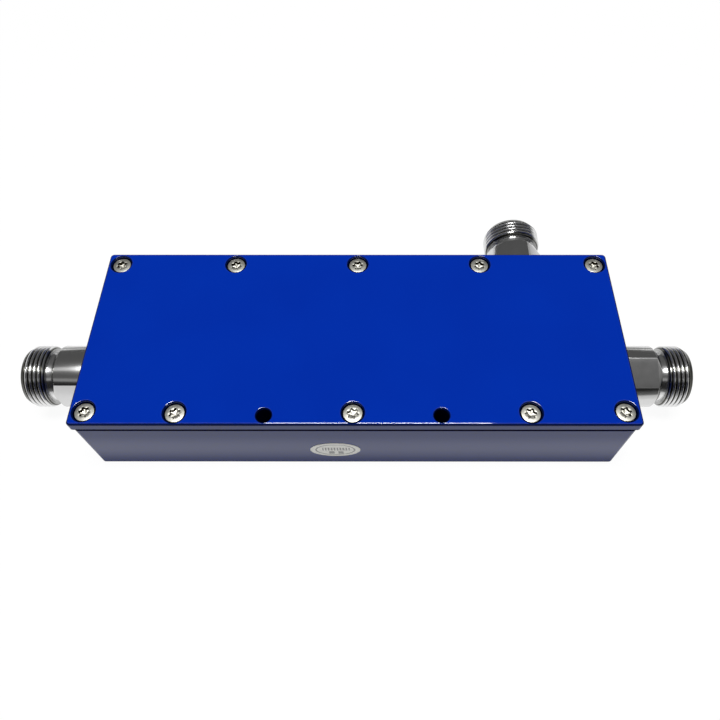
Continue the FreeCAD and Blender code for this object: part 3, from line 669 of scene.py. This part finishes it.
def lobed_ring(size, height=0):
    """A six-lobe ring: a circle bitten by six round flutes, then scaled."""
    points = []
    for n in range(HEAD_POINTS):
        angle = 2 * math.pi * n / HEAD_POINTS
        beside = abs((angle + math.pi / 6) % (math.pi / 3) - math.pi / 6)
        aside = FLUTE_PLACE * math.sin(beside)
        reach = LOBE_RADIUS
        if aside < FLUTE_RADIUS:
            flute = FLUTE_PLACE * math.cos(beside) - math.sqrt(FLUTE_RADIUS ** 2 - aside ** 2)
            reach = min(reach, flute)
        points.append(Vector((size * reach * math.cos(angle), size * reach * math.sin(angle), height)))
    return points


def on_the_dome(ring, drop=0.0):
    """A ring laid on the head's dome, which falls away from its middle."""
    for point in ring:
        point.z = HEAD_HEIGHT - DOME_RISE * (point.xy.length / HEAD_RADIUS) ** 2 - drop
    return ring


def make_cover_screw(mesh, place, turn):
    """Add one screw to the mesh, its head's seat at the given place."""
    floor = HEAD_HEIGHT - RECESS_DEPTH
    sides = [
        (TIP_RADIUS, -SHANK_LENGTH),
        (SHANK_RADIUS - POINT_CHAMFER, -SHANK_LENGTH),
        (SHANK_RADIUS, POINT_CHAMFER - SHANK_LENGTH),
        (SHANK_RADIUS, 0),
        (HEAD_RADIUS, 0),
    ]
    sides += [(HEAD_RADIUS - inwards, HEAD_SIDE + upwards) for inwards, upwards in HEAD_EDGE]
    rings = [round_ring(*point) for point in sides]
    rings += [on_the_dome(round_ring(radius)) for radius in DOME_RINGS]
    for outwards, down in RIM_CURVE:
        rim = lobed_ring(1 + outwards * RECESS_RIM / LOBE_RADIUS)
        rings.append(on_the_dome(rim, down * RECESS_RIM))
    rings.append(lobed_ring(RECESS_TAPER, floor))
    rings.append(round_ring(TIP_RADIUS, floor - RECESS_POINT))
    spin = Matrix.Translation(place) @ Matrix.Rotation(turn, 4, "Z")
    join_rings(mesh, [[spin @ point for point in ring] for ring in rings])


def stainless(place):
    """Warm stainless steel, rubbed on the head; its recess is darkened by oil and by painted shade."""
    _, _, height = split(place)
    _, _, up = split(place.out("Normal"))
    deep = 1 - step(height, OIL_AND_SHADE_BELOW, width=0.4 * MM)
    steep = 1 - step(up, 0.55, width=0.3)
    clouds = noise(place, 0.7 * MM)
    rubs = noise(place, 0.09 * MM, detail=3.0)
    oil_and_shade = tint(0.3 * deep, tint(clouds, STEEL_WARM, STEEL_PALE), STEEL_OIL_AND_SHADE)
    return {
        "Base Color": tint(steep, oil_and_shade, STEEL_SHADED),
        "Metallic": 1.0,
        "Roughness": 0.38 + 0.08 * clouds,
        "Normal": bump(rubs, height=0.003 * MM),
    }


screw_mesh = bmesh.new()
screw_places = [(x * MM, y * MM) for y, row in SCREW_ROWS for x in row]
for number, (x, y) in enumerate(screw_places):
    make_cover_screw(screw_mesh, Vector((x, y, screw_seat)), SCREW_TURN * number)
bmesh.ops.recalc_face_normals(screw_mesh, faces=screw_mesh.faces)
screws = finish_piece("sunk_screws", screw_mesh, Matrix.Identity(4))
screws.data.materials.append(make_finish("screw_steel", stainless))
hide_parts("cover_screws")


# Sticker: an oval of pale paper on the front face, put on when the coupler was tested.
# A dark ring and two rows of plain bars are printed on it.

PAPER_GREY, PAPER_PALE = (0.94, 0.94, 0.83, 1), (0.97, 0.97, 0.88, 1)
INK = (0.03, 0.04, 0.02, 1)
# The print is in shares of the oval's half width and half height.
RING_RADIUS = 0.77
RING_WIDTH = 0.07
PRINT_EDGE = 0.016
# Each row of bars: its height, half its bars' height, its middle, half its length, the
# bars' pitch and half the gap between two bars.
BAR_ROWS = ((0.12, 0.22, 0.03, 0.55, 0.118, 0.021), (-0.42, 0.20, 0.03, 0.31, 0.37, 0.08))


def band(wire, middle, half):
    """1 within a reach of the middle, and 0 outside it."""
    return between(wire, middle - half, middle + half, PRINT_EDGE)


def printed_paper(place):
    """Pale green-grey paper with its print, worked out on the front face."""
    low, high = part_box("inspection_label")
    middle, half = (low + high) / 2, (high - low) / 2
    x, _, z = split(place)
    across = (x - middle.x) * (1 / half.x)
    up = (z - middle.z) * (1 / half.z)
    ink = band((across * across + up * up) ** 0.5, RING_RADIUS, RING_WIDTH / 2)
    for height, half_height, middle_bar, half_length, pitch, half_gap in BAR_ROWS:
        along = across - middle_bar
        bars = step(along.calculate("PINGPONG", along, pitch / 2), half_gap, PRINT_EDGE)
        ink = ink + bars * band(up, height, half_height) * band(along, 0, half_length)
    grain = noise(place, 0.3 * MM, detail=3.0)
    return {
        "Base Color": tint(ink, tint(grain, PAPER_GREY, PAPER_PALE), INK),
        "Roughness": 0.4 + 0.1 * grain,
        "Coat Weight": 1.0,
        "Coat Roughness": 0.2,
        "Coat IOR": 2.1,
        "Normal": bump(grain, height=0.004 * MM),
    }


dress("inspection_label", make_finish("label_paper", printed_paper))


# Floor: a plain white sheet, seen at an even white with no more light on the coupler.
# What the metal and the paint mirror of it is painted darker: a painted shadow at the housing's
# foot, and painted shade out in front of it, far in front, and in a patch behind each end jack.

FLOOR_REACH = 3000 * MM
FLOOR_LIT, FLOOR_SEEN = (0.75, 0.75, 0.75, 1), (0.95, 0.95, 0.95, 1)
SEEN_WHITE = 1.04
SEEN_GLOW = 0.9
FOOT_SHADE, FRONT_SHADE, END_SHADE, PATCH_SHADE = 0.8, 0.25, 0.7, 0.85
FOOT_REACH = 1.5 * MM
FRONT_FROM = 6 * MM
FAR_SHADE_FROM, PATCH_BEHIND_FROM = 34 * MM, 20 * MM
PATCH_FROM, PATCH_TO = 14 * MM, 60 * MM

corners = [(x * FLOOR_REACH, y * FLOOR_REACH, 0) for x, y in ((-1, -1), (1, -1), (1, 1), (-1, 1))]
floor_mesh = bpy.data.meshes.new("studio_floor")
floor_mesh.from_pydata(corners, [], [(0, 1, 2, 3)])
floor = bpy.data.objects.new("studio_floor", floor_mesh)
bpy.context.scene.collection.objects.link(floor)

pale_floor = bpy.data.materials.new("pale_floor")
pale_floor.use_nodes = True
place = Wire(pale_floor.node_tree).node("ShaderNodeTexCoord", output="Object")
x, y, _ = split(place)
beside = abs(x) - housing_high.x
before = housing_low.y - y
behind = y - housing_high.y
# Painted shadow at the foot, and painted shade in front, far in front and in the patches, seen only in
# mirrors.
foot = 1 - step(larger(beside, larger(before, behind)), FOOT_REACH, width=5 * MM)
front = step(before, FRONT_FROM, width=3 * MM)
end = step(before, FAR_SHADE_FROM, width=16 * MM)
patch = step(beside, PATCH_FROM, width=12 * MM) - step(beside, PATCH_TO, width=20 * MM)
patch = patch * step(behind, PATCH_BEHIND_FROM, width=14 * MM)
shade = FOOT_SHADE * foot + FRONT_SHADE * front + END_SHADE * end + PATCH_SHADE * patch

camera_ray = place.node("ShaderNodeLightPath", output="Is Camera Ray")
mirrored = larger(camera_ray.out("Is Glossy Ray"), camera_ray.out("Is Transmission Ray"))
seen = larger(camera_ray, mirrored)
strength = SEEN_WHITE * camera_ray + (1 - camera_ray) * (1 - shade)
lit = place.node("ShaderNodeBsdfDiffuse", {}, {"Color": tint(seen, FLOOR_LIT, FLOOR_SEEN)})
glow = place.node("ShaderNodeEmission", {}, {"Color": (1, 1, 1, 1), "Strength": strength})
surface = place.node("ShaderNodeMixShader", {}, {0: SEEN_GLOW * seen, 1: lit, 2: glow})
feed(pale_floor.node_tree.nodes["Material Output"], {"Surface": surface})
floor_mesh.materials.append(pale_floor)


# Lamp: one soft rectangle straight above the coupler.
# Its strength is set by its radiance, so that its size can change alone.

LAMP_SIZE = (400 * MM, 220 * MM)
LAMP_PLACE = Vector((5, -45, 1000)) * MM
LAMP_RADIANCE = 24.0
lamp_data = bpy.data.lights.new("overhead_softbox", "AREA")
lamp_data.shape = "RECTANGLE"
lamp_data.size, lamp_data.size_y = LAMP_SIZE
lamp_data.energy = LAMP_RADIANCE * math.pi * LAMP_SIZE[0] * LAMP_SIZE[1]
lamp = bpy.data.objects.new("overhead_softbox", lamp_data)
lamp.location = LAMP_PLACE
bpy.context.scene.collection.objects.link(lamp)


# Room: plain white to the camera, and dim where the metal and the paint mirror it.
# Its bands run from side to side. Their angles are counted from straight above towards
# the front: a bright strip overhead, a pale band, and a dark one down to the floor.

ROOM_LEVEL = 0.10
STRIP_FROM, STRIP_TO, STRIP_RISE = math.radians(-4), math.radians(9), 0.5
PALE_FROM, PALE_TO, PALE_RISE = math.radians(39), math.radians(49), 0.24
DARK_FROM, DARK_TO, DARK_DROP = math.radians(50), math.radians(88), 0.08
room = bpy.data.worlds.new("dim_room")
room.use_nodes = True
bpy.context.scene.world = room
toward = Wire(room.node_tree).node("ShaderNodeTexCoord", output="Generated")
_, back, up = split(toward)
forward = up.calculate("ARCTAN2", 0 - back, up)
strip = between(forward, STRIP_FROM, STRIP_TO, width=0.06)
pale = between(forward, PALE_FROM, PALE_TO, width=0.08)
dark = step(forward, DARK_FROM, width=0.1) - step(forward, DARK_TO, width=0.05)
bands = ROOM_LEVEL + STRIP_RISE * strip + PALE_RISE * pale - DARK_DROP * dark
camera_ray = toward.node("ShaderNodeLightPath", output="Is Camera Ray")
glossy_ray = camera_ray.out("Is Glossy Ray")
strength = (bands * glossy_ray + ROOM_LEVEL * (1 - glossy_ray)) * (1 - camera_ray) + camera_ray
feed(room.node_tree.nodes["Background"], {"Color": (1, 1, 1, 1), "Strength": strength})


# Camera: close in front of the coupler and well above it, as in the photograph.
# Its focal length and the middle of its view are in pixels of the square picture.

PICTURE_SIZE = 720
FOCAL_LENGTH = 648.09
PRINCIPAL_X = 375.96
SENSOR_WIDTH = 36.0
CAMERA_PLACE = Vector((5.06, -88.53, 157.21)) * MM
PITCH_DOWN, YAW, ROLL = 59.017, 0.150, 0.106
camera_data = bpy.data.cameras.new("photo_camera")
camera_data.sensor_width = SENSOR_WIDTH
camera_data.lens = SENSOR_WIDTH * FOCAL_LENGTH / PICTURE_SIZE
camera_data.shift_x = 0.5 - PRINCIPAL_X / PICTURE_SIZE
camera_data.clip_start = 5 * MM
camera = bpy.data.objects.new("photo_camera", camera_data)
bpy.context.scene.collection.objects.link(camera)
heading = Matrix.Rotation(math.radians(YAW), 4, "Z")
tilt = Matrix.Rotation(math.radians(90 - PITCH_DOWN), 4, "X")
roll = Matrix.Rotation(math.radians(-ROLL), 4, "Z")
camera.matrix_world = Matrix.Translation(CAMERA_PLACE) @ heading @ tilt @ roll
bpy.context.scene.camera = camera
bpy.context.scene.view_settings.view_transform = "Standard"
